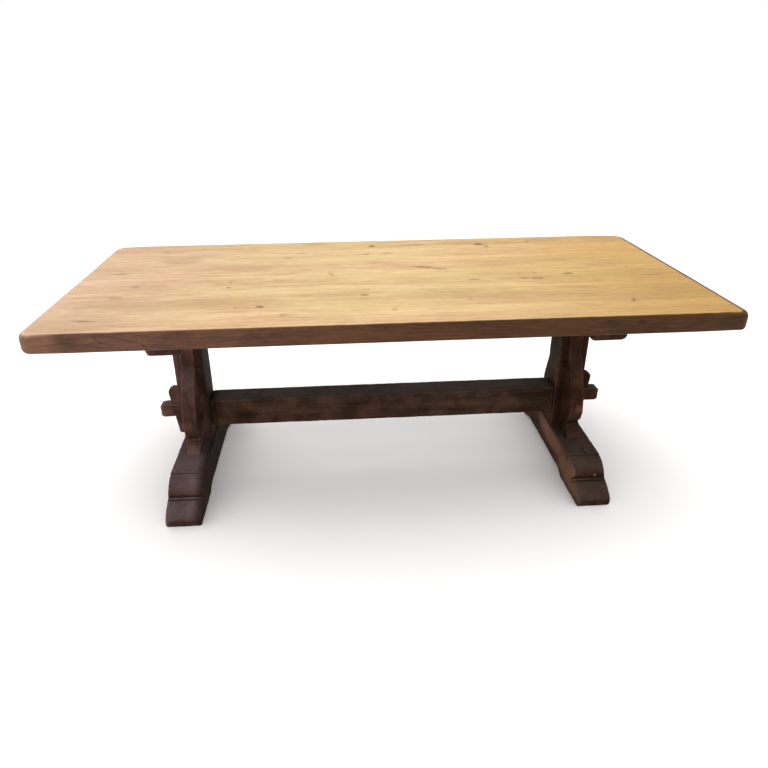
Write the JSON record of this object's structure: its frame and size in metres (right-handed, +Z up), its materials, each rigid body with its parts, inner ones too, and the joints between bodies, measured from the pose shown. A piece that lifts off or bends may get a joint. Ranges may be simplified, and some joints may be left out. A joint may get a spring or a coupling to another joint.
{
  "type": "farmhouse trestle table",
  "caption": "Long boarded table top on shaped trestles with moulded feet, joined by a low stretcher whose through tenons are locked by upright wedge keys.",
  "frame": {"origin": "on the floor, under the middle of the top", "axes": "+X along the table to the right as seen from its front, +Y from the front to the back, +Z up"},
  "size_m": [2.184, 0.9, 0.77],
  "materials": {
    "top_oak": "waxed light oak, satin",
    "base_oak": "dark stained oak, satin wax with worn arrises",
    "key_oak": "dark stained oak, satin wax",
    "tongue_wood": "unfinished pale wood",
    "peg_wood": "dark stained end grain",
    "screw_steel": "plain zinc-plated steel"
  },
  "bodies": {
    "table": {"top_board_1": "top_oak", "top_board_2": "top_oak", "top_board_3": "top_oak", "top_board_4": "top_oak", "top_board_5": "top_oak", "top_board_6": "top_oak", "loose_tongue_1": "tongue_wood", "loose_tongue_2": "tongue_wood", "loose_tongue_3": "tongue_wood", "loose_tongue_4": "tongue_wood", "loose_tongue_5": "tongue_wood", "left_bearer": "base_oak", "left_post": "base_oak", "left_foot": "base_oak", "left_front_bracket": "base_oak", "left_rear_bracket": "base_oak", "left_bearer_pegs": "peg_wood", "left_foot_pegs": "peg_wood", "left_bracket_dowels": "peg_wood", "left_top_screws": "screw_steel", "left_top_washers": "screw_steel", "right_bearer": "base_oak", "right_post": "base_oak", "right_foot": "base_oak", "right_front_bracket": "base_oak", "right_rear_bracket": "base_oak", "right_bearer_pegs": "peg_wood", "right_foot_pegs": "peg_wood", "right_bracket_dowels": "peg_wood", "right_top_screws": "screw_steel", "right_top_washers": "screw_steel", "stretcher": "base_oak"},
    "left_key": {"left_key": "key_oak"},
    "right_key": {"right_key": "key_oak"}
  },
  "joints": [
    {"name": "left_key_slide", "type": "slide", "parent": "table", "child": "left_key", "axis": [0, 0, 1], "range_m": [0, 0.15]},
    {"name": "right_key_slide", "type": "slide", "parent": "table", "child": "right_key", "axis": [0, 0, 1], "range_m": [0, 0.15]}
  ]
}
